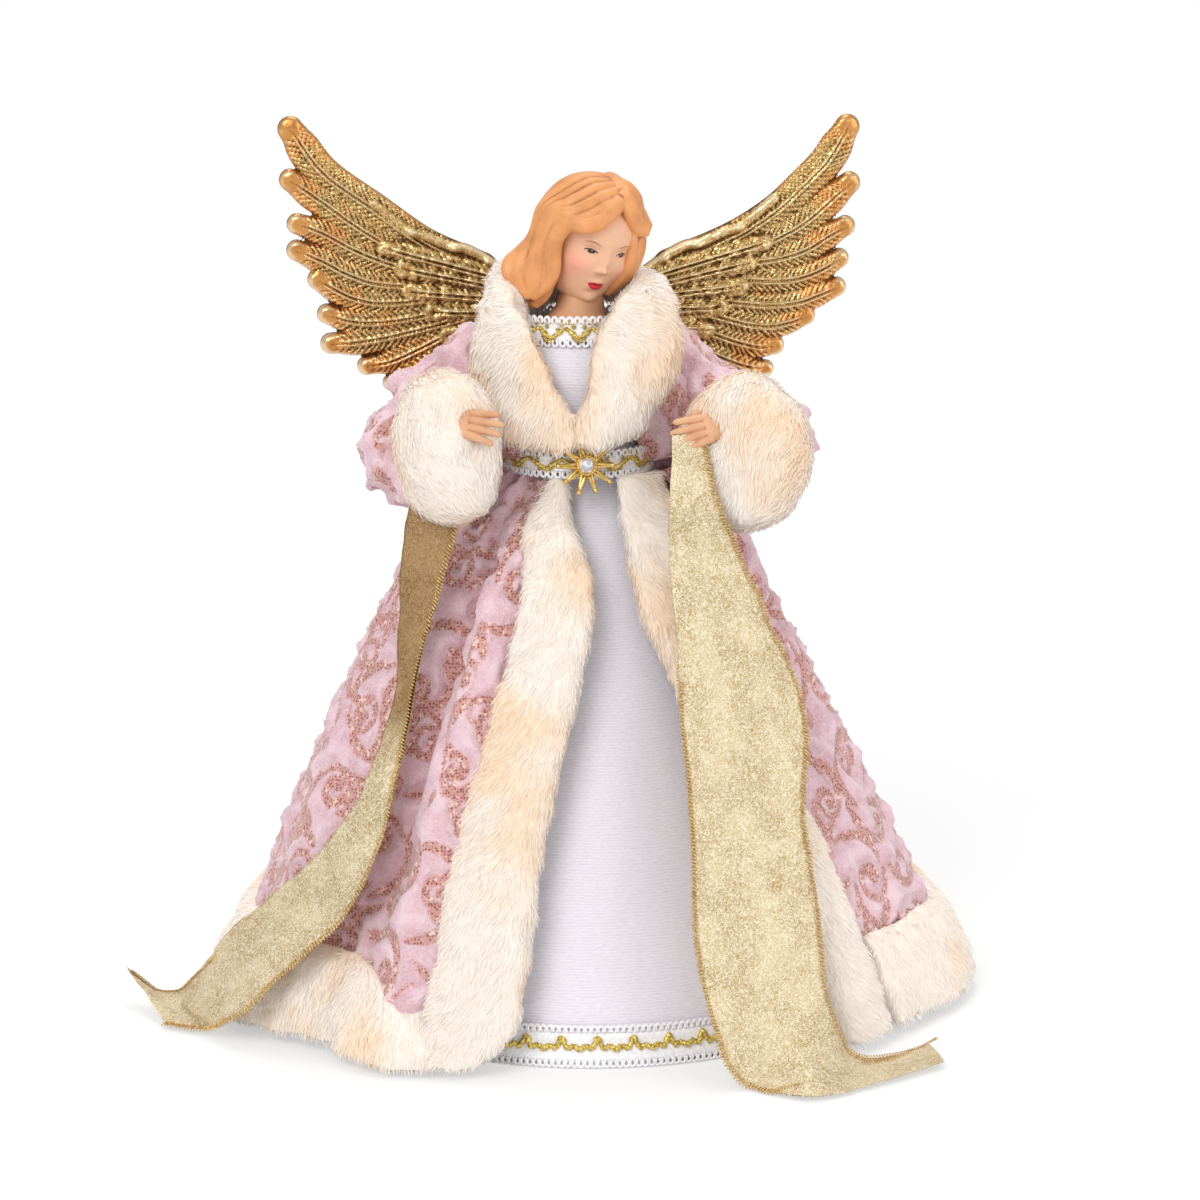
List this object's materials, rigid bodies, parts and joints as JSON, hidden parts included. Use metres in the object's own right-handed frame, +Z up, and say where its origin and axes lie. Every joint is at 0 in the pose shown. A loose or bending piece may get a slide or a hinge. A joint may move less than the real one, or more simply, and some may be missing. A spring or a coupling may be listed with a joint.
{
  "type": "tree topper",
  "caption": "Winged doll on a hollow cone, in a knit gown, fur-edged plush coat and long ribbons, with arms on bendable wires.",
  "frame": {"origin": "on the cone's axis, at the level of its bottom rim", "axes": "+Z up the cone axis, the figure faces -Y, the wings spread along X"},
  "size_m": [0.2952, 0.2485, 0.298],
  "materials": {
    "card": "matt card, tan",
    "foam": "matt white foam",
    "knit": "white rib knit",
    "galloon": "woven gold and white galloon",
    "gold_metal": "polished gold plate",
    "stone": "clear, faceted",
    "plush": "pink short-pile plush",
    "fur": "cream long-pile fur",
    "wire": "drawn wire",
    "skin": "painted, matt",
    "hair": "painted, satin",
    "ribbon": "gold metallic ribbon with wired edges",
    "wing": "antique gold paint with glitter"
  },
  "bodies": {
    "figure": {"cone_core": "card", "torso_form": "foam", "shoulder_wire": "wire", "dress_skirt": "knit", "dress_bodice": "knit", "neck_trim": "galloon", "waist_trim": "galloon", "hem_trim": "galloon", "star_brooch": "gold_metal", "brooch_stone": "stone", "coat_skirt": "plush", "coat_bodice": "plush", "fur_collar": "fur", "fur_front_left": "fur", "fur_front_right": "fur", "fur_hem": "fur", "left_ribbon": "ribbon", "right_ribbon": "ribbon", "left_wing": "wing", "right_wing": "wing", "wing_block": "foam", "head": "skin", "hair": "hair"},
    "left_arm": {"left_sleeve": "plush", "left_cuff": "fur", "left_arm_wire": "wire", "left_hand": "skin"},
    "right_arm": {"right_sleeve": "plush", "right_cuff": "fur", "right_arm_wire": "wire", "right_hand": "skin"}
  },
  "joints": [
    {"name": "left_shoulder", "type": "hinge", "parent": "figure", "child": "left_arm", "pos_m": [-0.04, 0.002, 0.222], "axis": [0, 1, 0], "range_deg": [0, 30], "deforming": ["left_ribbon"]},
    {"name": "right_shoulder", "type": "hinge", "parent": "figure", "child": "right_arm", "pos_m": [0.032, 0.002, 0.222], "axis": [0, -1, 0], "range_deg": [0, 30], "deforming": ["right_ribbon"]}
  ]
}
